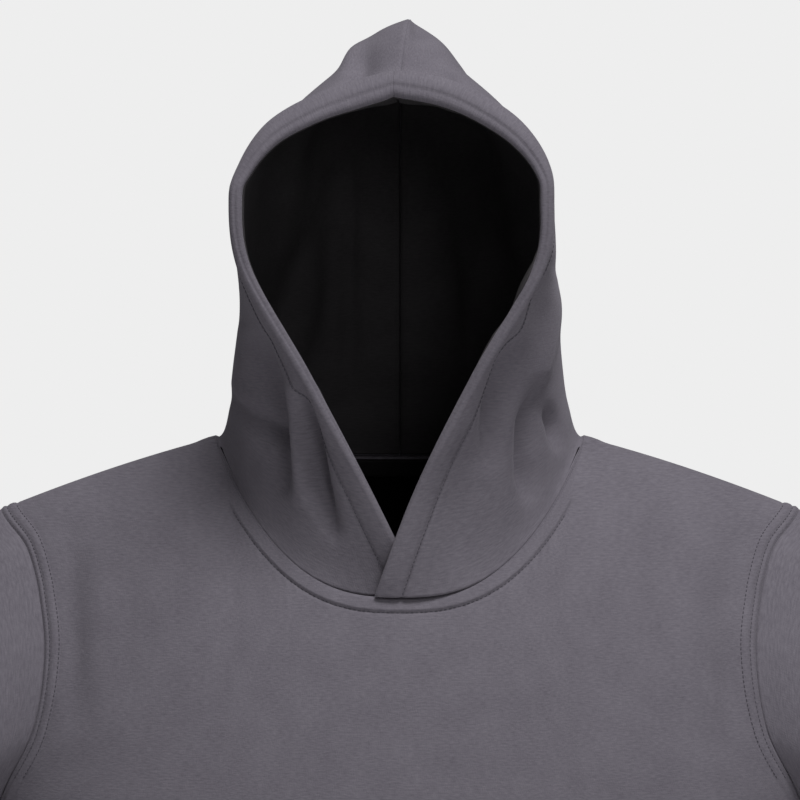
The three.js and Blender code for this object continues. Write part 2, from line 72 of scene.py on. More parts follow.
def along(table, place):
    """A table's rows read at places between them, on a Catmull-Rom curve through the rows."""
    place = np.asarray(place, float)
    i = np.clip(np.floor(place).astype(int), 0, len(table) - 2)
    f = (place - i)[..., None]
    a, b, c, d = (table[np.clip(i + k, 0, len(table) - 1)] for k in (-1, 0, 1, 2))
    return b + 0.5 * f * (c - a + f * (2 * a - 5 * b + 4 * c - d + f * (3 * (b - c) + d - a)))


def at_height(table, z):
    """A table's other columns at a height, on the same curve; its first column is the height, rising."""
    i = np.clip(np.searchsorted(table[:, 0], z) - 1, 0, len(table) - 2)
    f = np.clip((z - table[i, 0]) / (table[i + 1, 0] - table[i, 0]), 0, 1)
    return along(table, i + f)[..., 1:]


def ramp(low, high, x):
    """0 below low, 1 above high, and a smooth cubic between."""
    t = np.clip((x - low) / (high - low), 0, 1)
    return t * t * (3 - 2 * t)


def shoulder_z(x):
    """The shoulder line falls from the neck as a power of the distance from the centre."""
    return 14 - 65 * (np.abs(x) / SHOULDER_HALF) ** 1.6


def neck_z(x, half):
    """The neck seam dips below the sides of the neck as one minus a power of the distance out."""
    return shoulder_z(NECK_HALF) - half["drop"] * (1 - np.clip(np.abs(x) / NECK_HALF, 0, 1) ** 2.7)


def body_y(x, z, half):
    """A superellipse section, drawn in towards the shoulder line above the underarm."""
    width, share = np.moveaxis(at_height(BODY_WIDTH, np.minimum(z, PIT)), -1, 0)
    out = half["depth"] * share * (1 - np.clip(np.abs(x) / width, 0, 1) ** SECTION) ** (1 / SECTION)
    up = np.clip((z - PIT) / (shoulder_z(x) - PIT), 0, 1)
    return 10 + half["side"] * out * (1 - up ** half["fall"]) ** (1 / half["fall"])


def body_grid(half, columns, rows):
    """Points of a body half. Columns run -1 to 1 across; rows run 0 at the hem, 1 underarm, 2 shoulder."""
    u, v = np.meshgrid(columns, rows)
    across = np.sign(u) * np.sin(np.abs(u) * np.pi / 2) ** (2 / SECTION)
    tip = SHOULDER_HALF * across
    top = np.where(np.abs(tip) < NECK_HALF, neck_z(tip, half), shoulder_z(tip))
    low_z = HEM_TOP + (PIT - HEM_TOP) * np.minimum(v, 1)
    rise = np.sin(np.clip(v - 1, 0, 1) * np.pi / 2)
    edge_z = PIT + (shoulder_z(SHOULDER_HALF) - PIT) * rise
    at_armhole = at_height(ARMHOLE, edge_z)[..., half["armhole"] - 1]
    width = np.where(v <= 1, at_height(BODY_WIDTH, low_z)[..., 0], at_armhole)
    x, z = width * across, np.where(v <= 1, low_z, PIT + (top - PIT) * rise)
    return np.stack([x, body_y(x, z, half), z], -1)


def normals_of(grid, closed=False):
    """Unit normals: the cross product of the steps along and up the grid, facing away from its middle."""
    if closed:
        across = np.roll(grid, -1, 1) - np.roll(grid, 1, 1)
    else:
        across = np.gradient(grid, axis=1)
    normal = np.cross(across, np.gradient(grid, axis=0))
    normal /= np.maximum(np.linalg.norm(normal, axis=-1, keepdims=True), 1e-9)
    middle = grid.mean(1, keepdims=True) if closed else grid.mean((0, 1))
    return normal * np.sign((normal * (grid - middle)).sum())


def near_line(points, line):
    """Distance from each point to the nearest point of a line of points, and that point's number."""
    flat = points.reshape(-1, 3)
    best = np.full(len(flat), 1e9)
    which = np.zeros(len(flat), int)
    for k in range(len(line)):  # a line has a few hundred points; each step handles the whole surface
        away = ((flat - line[k]) ** 2).sum(1)
        nearer = away < best
        best[nearer], which[nearer] = away[nearer], k
    return np.sqrt(best).reshape(points.shape[:-1]), which.reshape(points.shape[:-1])


def fold(x, z, path, width, depth, sharp=0.0):
    """A soft trough along a path seen from the front: a bell across it, sharpened to a cusp by sharp, and
    fading out towards both ends of the path. A negative depth makes a ridge."""
    path = np.array(path, float)
    steps = np.diff(path, axis=0)
    lengths = np.hypot(*steps.T)
    starts = np.concatenate([[0], np.cumsum(lengths)])
    best = np.full(x.shape, 1e9)
    share = np.zeros(x.shape)
    for (px, pz), (dx, dz), length, start in zip(path, steps, lengths, starts):
        t = np.clip(((x - px) * dx + (z - pz) * dz) / length**2, 0, 1)
        away = np.hypot(x - px - t * dx, z - pz - t * dz)
        share = np.where(away < best, (start + t * length) / starts[-1], share)
        best = np.minimum(best, away)
    bell = np.exp(-((best / width) ** 2)) * (1 - sharp) + np.exp(-best / (0.6 * width)) * sharp
    return depth * bell * np.sin(np.pi * (0.08 + 0.84 * share)) ** 0.7


def wall(name, outer, inner, materials, closed=False, upright=False):
    """A closed wall between two grids of points: both sheets and the strips that join their edges. Its UV
    map is the length along the rows and up the columns of the outer sheet, or its height where it stands
    upright, in metres, so a knit follows the cloth."""
    rows, columns = outer.shape[:2]
    spans = columns if closed else columns - 1
    points = np.concatenate([outer.reshape(-1, 3), inner.reshape(-1, 3)]) * MM
    i, j = np.meshgrid(np.arange(rows - 1), np.arange(spans), indexing="ij")
    k = (j + 1) % columns
    front = np.stack([i * columns + j, i * columns + k, (i + 1) * columns + k, (i + 1) * columns + j], -1)
    front = front.reshape(-1, 4)
    back = front[:, ::-1] + rows * columns
    e = np.arange(spans)
    f = (e + 1) % columns
    top = (rows - 1) * columns
    n = rows * columns
    strips = [np.stack([f, e, e + n, f + n], -1), np.stack([top + e, top + f, top + f + n, top + e + n], -1)]
    if not closed:
        r = np.arange(rows - 1) * columns
        last = columns - 1
        strips.append(np.stack([r, r + columns, r + columns + n, r + n], -1))
        strips.append(np.stack([r + last + columns, r + last, r + last + n, r + last + columns + n], -1))
    edge = np.concatenate(strips)
    faces = np.concatenate([front, back, edge])
    a, b, c, d = (points[faces[:, m]] for m in range(4))
    if (np.cross(c - a, d - b) * (a + b + c + d)).sum() < 0:
        faces = faces[:, ::-1]
    next_column = outer[:, :1] if closed else outer[:, -1:]
    across = np.linalg.norm(np.diff(outer, axis=1, append=next_column), axis=-1)
    up = np.linalg.norm(np.diff(outer, axis=0, prepend=outer[:1]), axis=-1)
    u = np.cumsum(across.mean(0, keepdims=True) * np.ones_like(across), 1) - across.mean(0, keepdims=True)
    v = outer[..., 2] if upright else np.cumsum(up.mean(1, keepdims=True) * np.ones_like(up), 0)
    per_point = np.tile(np.stack([u, v], -1).reshape(-1, 2), (2, 1)) * MM
    mesh = bpy.data.meshes.new(name)
    mesh.vertices.add(len(points))
    mesh.vertices.foreach_set("co", points.ravel())
    mesh.loops.add(faces.size)
    mesh.loops.foreach_set("vertex_index", faces.ravel().astype(np.int32))
    mesh.polygons.add(len(faces))
    mesh.polygons.foreach_set("loop_start", np.arange(0, faces.size, 4, dtype=np.int32))
    mesh.polygons.foreach_set("use_smooth", np.ones(len(faces), bool))
    slots = np.zeros(len(faces), np.int32)
    slots[len(front):len(front) + len(back)] = len(materials) - 1
    mesh.polygons.foreach_set("material_index", slots)
    corner = per_point[faces.ravel()]
    if closed:  # where the tube's map meets itself, its last strip runs on instead of back to nought
        corner = corner.reshape(-1, 4, 2)
        turn = across.mean(0).sum() * MM
        wide = np.ptp(corner[..., 0], axis=1) > turn / 2
        corner[..., 0] += np.where(wide[:, None] & (corner[..., 0] < turn / 2), turn, 0)
        corner = corner.reshape(-1, 2)
    mesh.uv_layers.new(name="cloth").data.foreach_set("uv", corner.ravel().astype(np.float32))
    mesh.update()
    mesh.validate()
    for m in materials:
        mesh.materials.append(m)
    piece = bpy.data.objects.new(name, mesh)
    bpy.context.scene.collection.objects.link(piece)
    return piece


def colour(hex_code):
    """sRGB hex to linear red, green, blue and alpha."""
    s = np.array([int(hex_code[i:i + 2], 16) for i in (1, 3, 5)]) / 255
    return (*np.where(s <= 0.04045, s / 12.92, ((s + 0.055) / 1.055) ** 2.4), 1.0)


def add_node(tree, kind, settings=None, links=None):
    """Adds a node, sets its attributes and inputs, and links its inputs to other nodes' outputs."""
    node = tree.nodes.new(kind)
    for key, value in (settings or {}).items():
        if isinstance(key, str) and hasattr(node, key):
            setattr(node, key, value)
        else:
            node.inputs[key].default_value = value
    for key, socket in (links or {}).items():
        tree.links.new(socket, node.inputs[key])
    return node


def knit(name, light, dark, pitch, flecks, cloud, bump, roughness, sheen, sheen_tint):
    """A knitted cloth. pitch is the stitch spacing in metres. Flecks of two dye shades, stretched along the
    course, a slow cloudy drift of colour, and fine bumps of the stitches and of loose fibres."""
    material = bpy.data.materials.new(name)
    material.use_nodes = True
    tree = material.node_tree
    shader = tree.nodes["Principled BSDF"]
    place = add_node(tree, "ShaderNodeUVMap", {"uv_map": "cloth"})
    course = add_node(tree, "ShaderNodeMapping", {"Scale": (0.22 / pitch, 1 / pitch, 1)},
                      {"Vector": place.outputs[0]})
    fleck = add_node(tree, "ShaderNodeTexNoise", {"Scale": 1.0, "Detail": 3.0, "Roughness": 0.65},
                     {"Vector": course.outputs[0]})
    drift = add_node(tree, "ShaderNodeTexNoise", {"Scale": 38.0, "Detail": 4.0, "Roughness": 0.55},
                     {"Vector": place.outputs[0]})
    wale = add_node(tree, "ShaderNodeMapping", {"Scale": (1 / pitch, 0.3 / pitch, 1)},
                    {"Vector": place.outputs[0]})
    fibre = add_node(tree, "ShaderNodeTexNoise", {"Scale": 1.3, "Detail": 2.0}, {"Vector": wale.outputs[0]})
    shade = add_node(tree, "ShaderNodeMix", {"data_type": "FLOAT", "factor_mode": "UNIFORM", 0: cloud},
                     {2: fleck.outputs[0], 3: drift.outputs[0]})
    spread = add_node(tree, "ShaderNodeMapRange", {"From Min": 0.5 - flecks, "From Max": 0.5 + flecks},
                      {"Value": shade.outputs[0]})
    tone = add_node(tree, "ShaderNodeMix", {"data_type": "RGBA", 6: colour(dark), 7: colour(light)},
                    {0: spread.outputs[0]})
    tree.links.new(tone.outputs[2], shader.inputs["Base Color"])
    height = add_node(tree, "ShaderNodeMath", {"operation": "ADD"},
                      {0: fleck.outputs[0], 1: fibre.outputs[0]})
    relief = add_node(tree, "ShaderNodeBump", {"Strength": bump, "Distance": 0.0004},
                      {"Height": height.outputs[0]})
    tree.links.new(relief.outputs[0], shader.inputs["Normal"])
    shader.inputs["Roughness"].default_value = roughness
    shader.inputs["IOR"].default_value = 1.45
    shader.inputs["Specular IOR Level"].default_value = 0.12
    shader.inputs["Sheen Weight"].default_value = sheen
    shader.inputs["Sheen Roughness"].default_value = 0.5
    shader.inputs["Sheen Tint"].default_value = colour(sheen_tint)
    return material


# Cotton-rich sweatshirt fleece, dyed charcoal with a violet cast: matt, with darker and lighter flecks along
# the course and a faint bloom of loose fibre at glancing angles. Stitches are 0.9 mm, drawn at 1 mm to show.
fleece = knit("charcoal_heather_fleece", "#726e76", "#5c5860", 0.0010, 0.20, 0.28, 0.55, 0.92, 0.2, "#b9b4bd")
# The brushed back of the same cloth, near-black as painted shade of the hollow: a raised nap with no visible
# stitches.
painted_shade_back = knit("painted_shade_inside_black", "#0c0b0c", "#050505", 0.0020, 0.30, 0.5, 0.3, 1.0, 0.02, "#303030")

NECK_SHARE = 2 / np.pi * np.arcsin((NECK_HALF / SHOULDER_HALF) ** (SECTION / 2))
body_columns = np.concatenate([
    np.linspace(-1, -NECK_SHARE, 61)[:-1],
    np.linspace(-NECK_SHARE, NECK_SHARE, 101),
    np.linspace(NECK_SHARE, 1, 61)[1:],
])
body_rows = np.concatenate([np.linspace(0, 1, 44)[:-1], 1 + np.linspace(0, 1, 110) ** 0.8])
FRONT_FOLDS = [  # path of x and z points, width, depth
    ([(-207, -70), (-212, -120), (-205, -175)], 13, 5),
    ([(208, -80), (214, -130), (206, -190)], 13, 4),
    ([(-190, -58), (-170, -100), (-176, -160)], 16, 1.6),
    ([(182, -50), (168, -95), (172, -165)], 16, 1.6),
    ([(-238, -262), (-190, -330), (-165, -430)], 22, 7),
    ([(238, -262), (196, -345), (180, -440)], 22, 7),
    ([(-150, -640), (-146, -560), (-160, -430)], 24, 7),
    ([(60, -640), (54, -570), (70, -470)], 26, 6),
    ([(172, -640), (166, -540), (180, -400)], 22, 7),
    ([(-40, -640), (-52, -590), (-46, -520)], 22, 4),
]
BACK_FOLDS = [
    ([(-125, -640), (-116, -500), (-140, -330)], 28, 8),
    ([(20, -640), (28, -560), (10, -430)], 28, 6),
    ([(150, -640), (142, -480), (160, -300)], 26, 8),
    ([(-232, -262), (-190, -210), (-150, -190)], 20, 6),
    ([(232, -262), (190, -215), (150, -192)], 20, 6),
    ([(-80, -60), (0, -76), (80, -60)], 16, 3),
]
NECK_STITCHING = 10.0  # distance of each line of topstitching from its seam
ARMHOLE_STITCHING = (4.5, 10.5)
body_grids = {}
for name, half, folds in (("body_front", FRONT, FRONT_FOLDS), ("body_back", BACK, BACK_FOLDS)):
    grid = body_grid(half, body_columns, body_rows)
    depth = sum(fold(grid[..., 0], grid[..., 2], *f) for f in folds)
    neck = grid[-1][np.abs(grid[-1, :, 0]) <= NECK_HALF + 0.1]
    shoulders = grid[-1][np.abs(grid[-1, :, 0]) >= NECK_HALF - 0.1]
    armholes = np.concatenate([grid[body_rows >= 1, 0], grid[body_rows >= 1, -1]])
    to_neck, to_arm = near_line(grid, neck)[0], near_line(grid, armholes)[0]
    # The seam allowances raise the cloth beside each seam, and the topstitching draws a groove along them.
    depth *= ramp(0, 30, np.minimum(to_neck, to_arm))
    raised = 1.3 * ramp(10.5, 8.5, to_neck) * ramp(-0.5, 2.5, to_neck)
    raised += 1.0 * ramp(11.5, 10, to_arm) * ramp(-0.5, 2.5, to_arm)
    grooves = 0.9 * np.exp(-(((to_neck - NECK_STITCHING) / 1.0) ** 2))
    grooves += sum(0.7 * np.exp(-(((to_arm - line) / 0.9) ** 2)) for line in ARMHOLE_STITCHING)
    pucker = 0.25 * np.sin(np.arange(len(body_columns)) * 1.9)[None] * np.exp(-(((to_neck - 13) / 3) ** 2))
    normal = normals_of(grid)
    grid = grid + normal * (raised - grooves - depth + pucker)[..., None]
    normal = normals_of(grid)
    body_grids[name] = (grid, normal, to_neck, to_arm)
    # The inner sheet takes the near-black back, painted shade of the hollow inside the body.
    piece = wall(name, grid, grid - normal * FLEECE, [fleece, painted_shade_back], upright=True)
    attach(piece, "root")
    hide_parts(name)

# --------------------------------------------------------------------------------------------------
# Sleeves: one piece of the same fleece each, sewn into the armhole, closed along the underarm and
# gathered a little into the cuff. The arms hang, slightly bent.
# --------------------------------------------------------------------------------------------------
SLEEVE_RINGS = np.array([  # centre x, y and z, lean of the outer side in degrees, half-width, half-depth
    [259, 8, -156, 88, 105, 60], [278, 7, -170, 84, 102, 65], [295, 5, -187, 74, 99, 70],
    [311, 3, -214, 62, 92, 75], [324, 0, -252, 48, 84, 78], [330, -3, -302, 31, 72, 77],
    [333, -8, -362, 15, 64, 73], [339, -15, -430, 8, 60, 68], [347, -27, -510, 8, 56, 62],
    [355, -43, -588, 10, 51, 56], [359, -51, -624, 10, 45, 47],
], float)


def ring(table, place, turn):
    """A tilted ellipse: turn runs from its outer side through the front and round to 1."""
    x, y, z, lean, wide, deep = np.moveaxis(along(table, place), -1, 0)
    out, lean = wide * np.cos(turn * 2 * np.pi), np.radians(lean)
    return np.stack([x + out * np.cos(lean), y - deep * np.sin(turn * 2 * np.pi), z + out * np.sin(lean)], -1)


def armhole(turn):
    """The armhole seam: down the front from the shoulder tip and up the back."""
    z = shoulder_z(SHOULDER_HALF) + (PIT - shoulder_z(SHOULDER_HALF)) * (1 - np.cos(turn * 2 * np.pi)) / 2
    front, back = np.moveaxis(at_height(ARMHOLE, z), -1, 0)
    x = np.where(turn < 0.5, front, back)
    return np.stack([x, np.where(turn < 0.5, body_y(x, z, FRONT), body_y(x, z, BACK)), z], -1)


SLEEVE_FOLDS = [  # place down the sleeve and round it, half-sizes both ways, depth, slant
    (0.30, 0.47, 0.040, 0.16, 9, 0.2), (0.38, 0.50, 0.030, 0.14, 7, -0.15),
    (0.52, 0.24, 0.025, 0.20, 5, 0.12), (0.57, 0.34, 0.028, 0.22, 7, 0.1),
    (0.64, 0.42, 0.026, 0.20, 7, -0.1), (0.70, 0.30, 0.022, 0.18, 4, 0.08),
    (0.58, 0.80, 0.030, 0.16, 4, 0.1), (0.86, 0.10, 0.024, 0.26, 6, 0.06),
    (0.91, 0.60, 0.022, 0.30, 6, -0.06), (0.95, 0.30, 0.016, 0.30, 4, 0.05),
    (0.96, 0.85, 0.016, 0.25, 5, -0.04), (0.12, 0.75, 0.05, 0.08, 4, 0.3),
]
for word, side in (("left", 1), ("right", -1)):
    at, turn = np.meshgrid(np.linspace(0, 1, 140), np.arange(144) / 144, indexing="ij")
    grid = ring(SLEEVE_RINGS, at * (len(SLEEVE_RINGS) - 1), turn)
    head = np.clip(1 - at / 0.42, 0, 1) ** 2
    grid += (armhole(turn) - ring(SLEEVE_RINGS, 0 * at, turn)) * head[..., None]
    depth = np.zeros_like(at)
    for place, where, half_at, half_turn, deep, slant in SLEEVE_FOLDS:
        round_by = (turn - where + (0.03 if side < 0 else 0) + 0.5) % 1 - 0.5
        down_by = at - place - slant * round_by
        depth += deep * np.exp(-((down_by / half_at) ** 2) - (round_by / half_turn) ** 2)
    depth *= ramp(0, 0.06, at)
    # The seam at the cuff draws the cloth in, and the folds fade out towards the armhole; small gathers sit
    # above the cuff.
    depth += 0.8 * np.exp(-(((at - 0.985) / 0.01) ** 2))
    depth += 1.1 * np.sin(turn * 2 * np.pi * 17 + 3 * np.sin(turn * 12)) * ramp(0.93, 1.0, at)
    grid *= (side, 1, 1)
    grid -= normals_of(grid, True) * depth[..., None]
    normal = normals_of(grid, True)
    # The inner sheet takes the near-black back, painted shade of the hollow inside the sleeve.
    piece = wall(f"sleeve_{word}", grid, grid - normal * FLEECE, [fleece, painted_shade_back], closed=True)
    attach(piece, "root")
    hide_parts(f"sleeve_{word}")

# --------------------------------------------------------------------------------------------------
# Cuffs and hem band: folded tubes of one-by-one rib knit in the same charcoal, 3 mm thick, sewn on
# stretched, so they draw the sleeve and the body in. Each knit rib stands up as a real ridge.
# --------------------------------------------------------------------------------------------------
RIB = 3.0
CUFF_RIBS = 78  # ribs 3.1 to 3.3 mm apart, drawn a little coarse to show
HEM_RIBS = 345
rib = knit("charcoal_heather_rib", "#706c74", "#57535b", 0.0010, 0.20, 0.4, 0.4, 0.94, 0.2, "#b9b4bd")
CUFF_RINGS = np.array([
    [359.2, -51.3, -625.2, 10, 44, 46], [360.5, -53.5, -634, 10, 40, 40], [362, -56, -644, 10, 39, 38],
    [365, -61, -668, 10, 39, 36], [368, -66, -692, 10, 37, 34],
], float)


def ribbed(grid, ribs, depth=0.55):
    """The outer sheet of a rib knit: rows of ridges, each a rounded cosine across the rib."""
    columns = np.arange(grid.shape[1]) / grid.shape[1]
    wave = np.abs(np.cos(columns * ribs * np.pi)) ** 0.8 - 0.6
    return grid + normals_of(grid, True) * (depth * wave)[None, :, None]


for word, side in (("left", 1), ("right", -1)):
    at, turn = np.meshgrid(np.linspace(0, 1, 22), np.arange(4 * CUFF_RIBS) / (4 * CUFF_RIBS), indexing="ij")
    grid = ring(CUFF_RINGS, at * (len(CUFF_RINGS) - 1), turn) * (side, 1, 1)
    normal = normals_of(grid, True)
    edge = 1.2 * ramp(0.94, 1.0, at)[..., None]
    outer, inner = ribbed(grid - normal * edge, CUFF_RIBS), grid - normal * (RIB - edge)
    piece = wall(f"cuff_{word}", outer, inner, [rib], closed=True)
    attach(piece, "root")
    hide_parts(f"cuff_{word}")

up, turn = np.meshgrid(np.linspace(0, 1, 16), np.arange(4 * HEM_RIBS) / (4 * HEM_RIBS), indexing="ij")
z = -700 + 59.5 * up
sine, front = np.sin(turn * 2 * np.pi), np.cos(turn * 2 * np.pi) >= 0
x = at_height(BODY_WIDTH, z)[..., 0] * np.sign(sine) * np.abs(sine) ** (2 / SECTION)
inward = np.where(front, sum(fold(x, z, *f) for f in FRONT_FOLDS), sum(fold(x, z, *f) for f in BACK_FOLDS))
inward += 1.5 * ramp(0.8, 1.0, up)
grid = np.stack([x, np.where(front, body_y(x, z, FRONT), body_y(x, z, BACK)), z], -1)
grid -= normals_of(grid, True) * inward[..., None]
edge = 1.2 * ramp(0.06, 0.0, up)[..., None]
normal = normals_of(grid, True)
outer, inner = ribbed(grid - normal * edge, HEM_RIBS), grid - normal * (RIB - edge)
hem_band = wall("hem_band", outer, inner, [rib], closed=True)
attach(hem_band, "root")
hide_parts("hem_band")

# --------------------------------------------------------------------------------------------------
# Hood: two shaped sides of the fleece, sewn together over the head. The edge of the face opening is
# turned in and stitched down as a full, rounded rim, and the left side laps over the right at the throat.
# --------------------------------------------------------------------------------------------------
HOOD_SECTIONS = np.array([  # from the neck up, control points towards the front, the back and on the seam
    [104, -60, -48, 132, 72, -8, 78, -22], [114, -62, -2, 138, 80, 20, 84, 14],
    [114, -62, 48, 138, 96, 60, 96, 56], [104, -66, 98, 118, 112, 106, 108, 102],
    [96, -66, 146, 106, 118, 152, 112, 150], [90, -66, 172, 96, 108, 192, 104, 192],
    [74, -50, 188, 74, 66, 228, 86, 226], [54, -24, 197, 52, 14, 252, 66, 248],
    [28, -4, 199, 36, -40, 265, 52, 260], [0, 8, 195, 0, -78, 269, 42, 265],
], float)
OPENINGS = {
    "left": np.array([
        [-14, -95, -103], [12, -108, -38], [49, -121, 31], [88, -131, 97], [94, -135, 142], [90, -134, 163],
        [74, -131, 185], [49, -127, 203], [25, -122, 214], [-4, -118, 219.5],
    ], float),
    "right": np.array([
        [12, -84, -103], [-21, -104, -38], [-60, -121, 31], [-98, -131, 97], [-105, -135, 142],
        [-98, -134, 163], [-81, -131, 185], [-55, -127, 201], [-31, -122, 211], [-4, -118, 219.5],
    ], float),
}
RIM_WIDTH = np.array([4.0, 5.5, 7.5, 7.5, 8.0, 8.5, 10.5, 12.0, 13.5, 13.5])[:, None]  # from the throat up
HOOD_FOLDS = {  # path of x and z points, width, depth, sharpness; seen from the front
    "right": [
        ([(-89, 50), (-86, 36), (-79, 8), (-76, -14), (-74, -34)], 8, 17, 0.1),
        ([(-62, 18), (-55, -14), (-51, -34), (-42, -62)], 6, 17, 0.4),
        ([(-101, 18), (-92, 8), (-78, -8)], 5, 9, 0.4),
        ([(-70, 24), (-66, -10), (-63, -44)], 6, -6, 0),
        ([(-97, 60), (-100, 30), (-94, -10)], 6, -5, 0),
    ],
    "left": [
        ([(70, 50), (66, 32), (60, 10), (55, -16)], 8, 14, 0.25),
        ([(86, 28), (81, 4), (79, -18), (80, -38)], 6, 18, 0.4),
        ([(101, 92), (93, 58), (86, 30), (82, 4), (76, -20)], 6, -6, 0),
        ([(91, 100), (86, 84), (84, 62)], 7, 4, 0),
        ([(94, 14), (98, 2), (100, -10)], 4, 9, 0.3),
        ([(40, -10), (36, -45), (34, -80)], 10, 3, 0),
    ],
}
CROWN_FOLDS = {  # height share, front-to-back share, half-sizes, depth
    "right": [
        (0.90, 0.45, 0.035, 0.16, 7), (0.84, 0.62, 0.03, 0.12, -4), (0.2, 0.75, 0.16, 0.05, 9),
        (0.55, 0.6, 0.2, 0.08, 6), (0.36, 0.5, 0.05, 0.12, 5),
    ],
    "left": [
        (0.84, 0.30, 0.04, 0.10, 7), (0.2, 0.78, 0.14, 0.05, 9), (0.6, 0.58, 0.2, 0.08, 6),
        (0.93, 0.75, 0.05, 0.12, 4), (0.38, 0.55, 0.05, 0.12, 5),
    ],
}
THROAT_Z = -103
THROAT_REACH = 70  # distance from the throat over which the lap fades
LAP = 5  # the left edge stands out, and the right one in, by this much at the throat


def hood_middle(s, t):
    """The middle of the hood leans to the wearer's left as it rises to the point."""
    return np.clip(2 * s - 1, 0, 1) ** 2 * (-4 + 11 * t)


def neck_line(t, side, start):
    """The neck seam from the throat, at start, round the side to the middle of the back."""
    front = t < 0.56
    turn = np.where(front, t / 0.56, (t - 0.56) / 0.44) * np.pi / 2
    x = np.where(front, start * side + (NECK_HALF - start * side) * np.sin(turn), NECK_HALF * np.cos(turn))
    z = np.where(front, neck_z(x, FRONT), neck_z(x, BACK))
    return np.stack([side * x, np.where(front, body_y(x, z, FRONT), body_y(x, z, BACK)), z], -1)


def hood_drape(s, t, side, opening):
    """At each height a cubic Bezier curve runs from the opening, past the ear, to the middle seam."""
    place = s * (len(HOOD_SECTIONS) - 1)
    c = np.moveaxis(along(HOOD_SECTIONS, place), -1, 0)
    points = [
        along(opening, place),
        np.stack([side * c[0] + hood_middle(s, 1 / 3), c[1], c[2]], -1),
        np.stack([side * c[3] + hood_middle(s, 2 / 3), c[4], c[5]], -1),
        np.stack([hood_middle(s, 1), c[6], c[7]], -1),
    ]
    shares = [(1 - t) ** 3, 3 * (1 - t) ** 2 * t, 3 * (1 - t) * t**2, t**3]
    return sum(p * w[..., None] for p, w in zip(points, shares))


def hood_surface(s, t, side, word):
    """The drape, pulled to the neck seam at its foot and lapped at the throat, with its folds pushed in."""
    opening = OPENINGS[word]
    grid = hood_drape(s, t, side, opening)
    pull = neck_line(t, side, opening[0, 0]) - hood_drape(0 * s, t, side, opening)
    grid += pull * (np.clip(1 - s / 0.3, 0, 1) ** 2)[..., None]
    near = np.clip(1 - np.hypot(grid[..., 0], grid[..., 2] - THROAT_Z) / THROAT_REACH, 0, 1)
    grid[..., 1] -= np.where(grid[..., 1] < 0, side * LAP * near**2 * (3 - 2 * near), 0)
    seen = ramp(0.62, 0.45, t)
    depth = sum(fold(grid[..., 0], grid[..., 2], *f) for f in HOOD_FOLDS[word]) * seen
    for at_s, at_t, half_s, half_t, deep in CROWN_FOLDS[word]:
        depth = depth + deep * np.exp(-(((s - at_s) / half_s) ** 2) - ((t - at_t) / half_t) ** 2)
    depth *= ramp(0, 0.05, np.minimum(s, np.minimum(1 - s, 1 - t))) * ramp(0.0, 0.03, t)
    # Over the head the cloth sinks behind the stiff rim before it rises to the point.
    depth += 5 * np.exp(-(((t - 0.16) / 0.06) ** 2)) * ramp(0.55, 0.85, s)
    return grid - normals_of(grid) * depth[..., None]


def at_columns(values, place):
    """Each row's values read at fractional columns, along straight lines between them."""
    i = np.clip(np.floor(place).astype(int), 0, values.shape[1] - 2)
    f = (place - i).reshape(place.shape + (1,) * (values.ndim - 2))
    rows = np.arange(len(values))[:, None]
    return values[rows, i] * (1 - f) + values[rows, i + 1] * f


